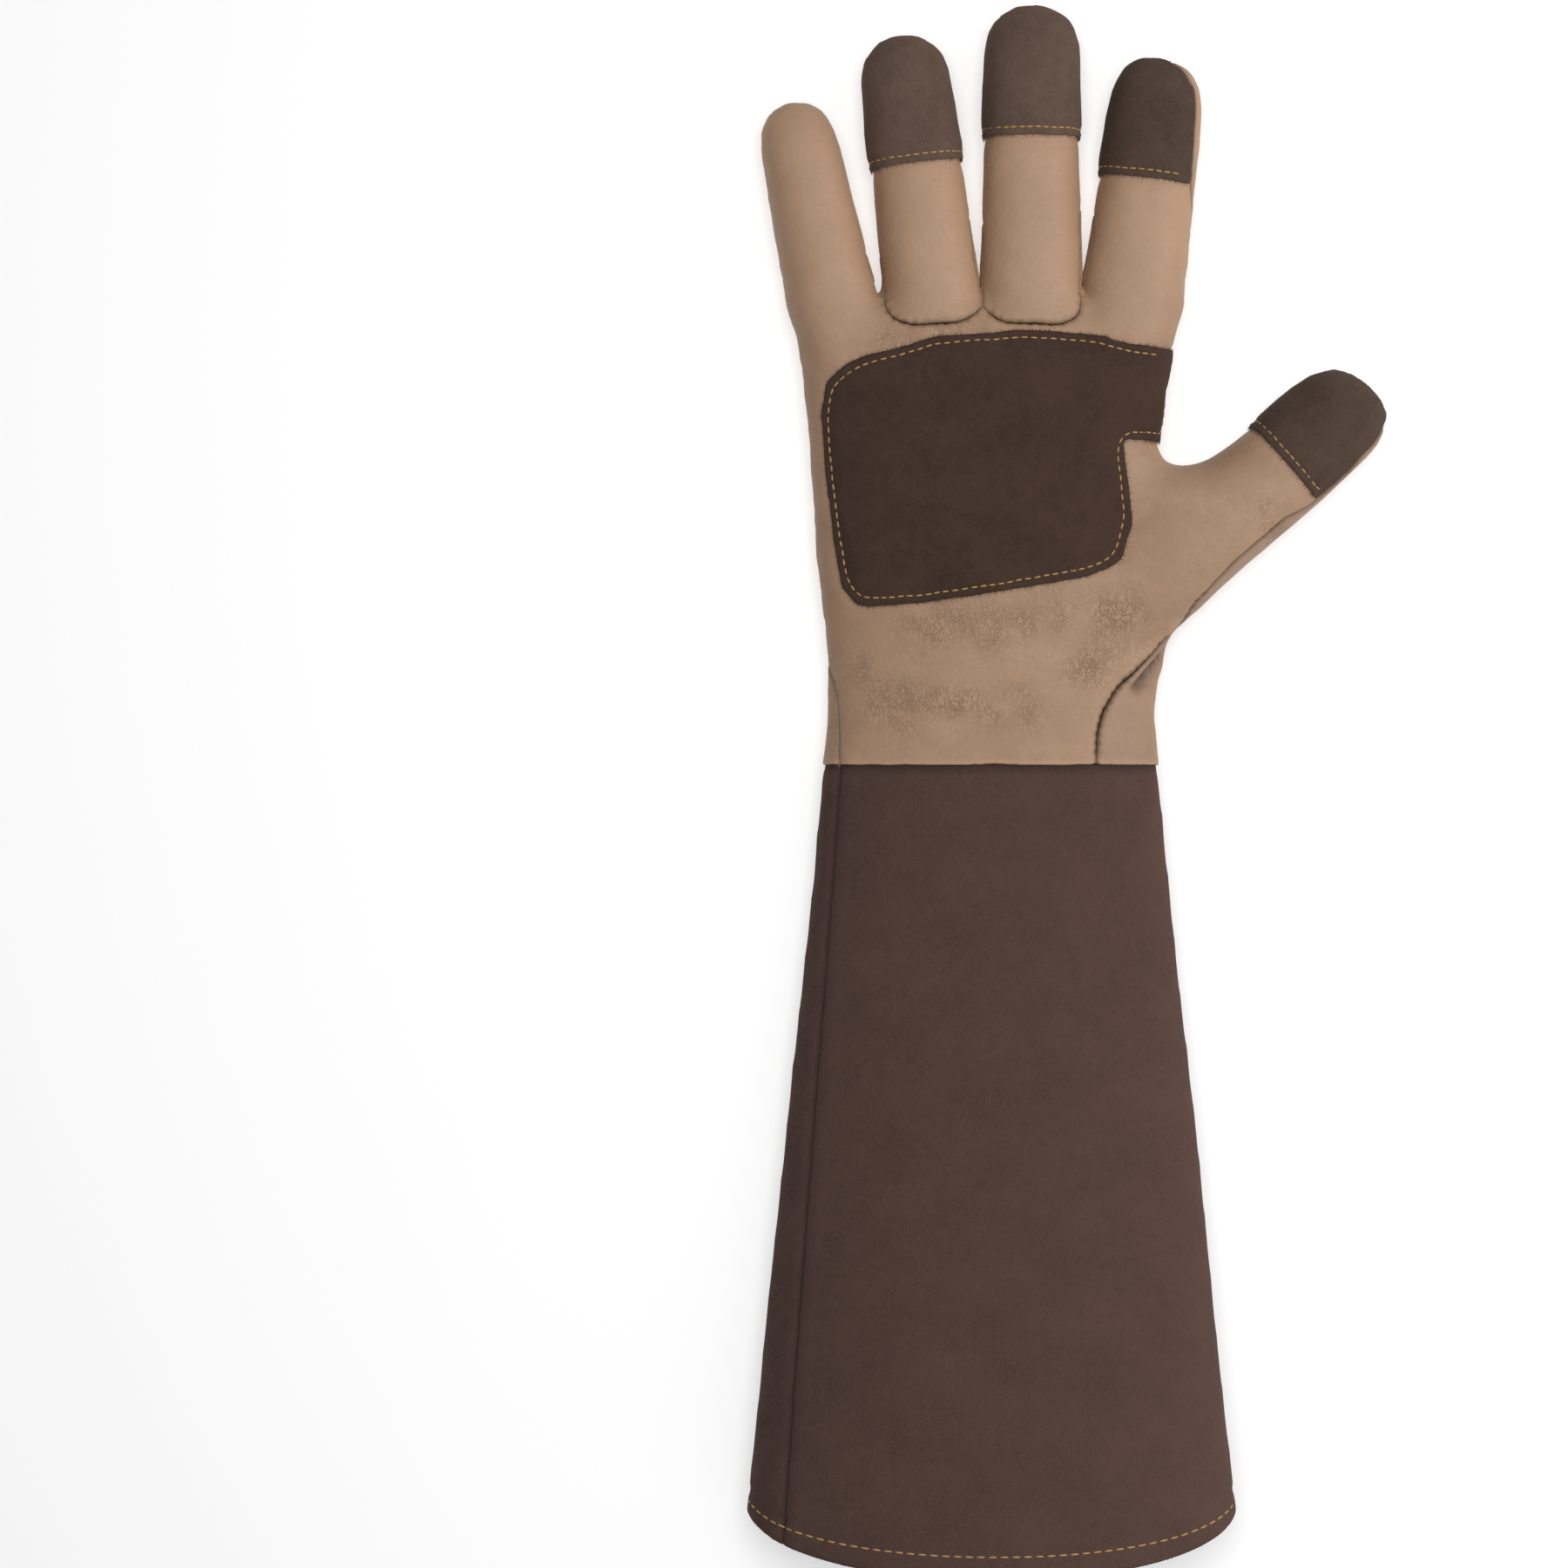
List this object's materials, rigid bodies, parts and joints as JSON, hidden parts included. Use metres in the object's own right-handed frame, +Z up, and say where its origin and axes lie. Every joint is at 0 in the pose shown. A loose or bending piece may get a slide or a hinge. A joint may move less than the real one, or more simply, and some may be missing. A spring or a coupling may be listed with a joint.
{
  "type": "rose pruning gauntlet",
  "caption": "Long leather pruning glove for the right hand with suede palm patch, fingertip caps, gathered wrist and flared forearm cuff.",
  "frame": {"origin": "on the surface the glove lies on, under the middle of its bounding box", "axes": "+Y along the glove from the cuff to the fingertips, +X towards the thumb, +Z up out of the palm, which lies upwards"},
  "size_m": [0.183, 0.446, 0.0428],
  "materials": {
    "tan_leather": "smooth tan grain leather with a soft sheen",
    "thumb_leather": "smooth tan grain leather, a little greyer",
    "brown_suede": "napped dark brown suede of the palm patch and fingertip caps",
    "cuff_suede": "fine napped brown suede of the cuff"
  },
  "bodies": {
    "root": {"back_panel": "tan_leather", "palm_panel": "tan_leather", "ring_front": "tan_leather", "middle_front": "tan_leather", "thumb_back": "thumb_leather", "palm_patch": "brown_suede", "ring_cap": "brown_suede", "middle_cap": "brown_suede", "index_cap": "brown_suede", "thumb_cap": "brown_suede", "cuff_palm_panel": "cuff_suede", "cuff_back_panel": "cuff_suede"}
  },
  "joints": []
}
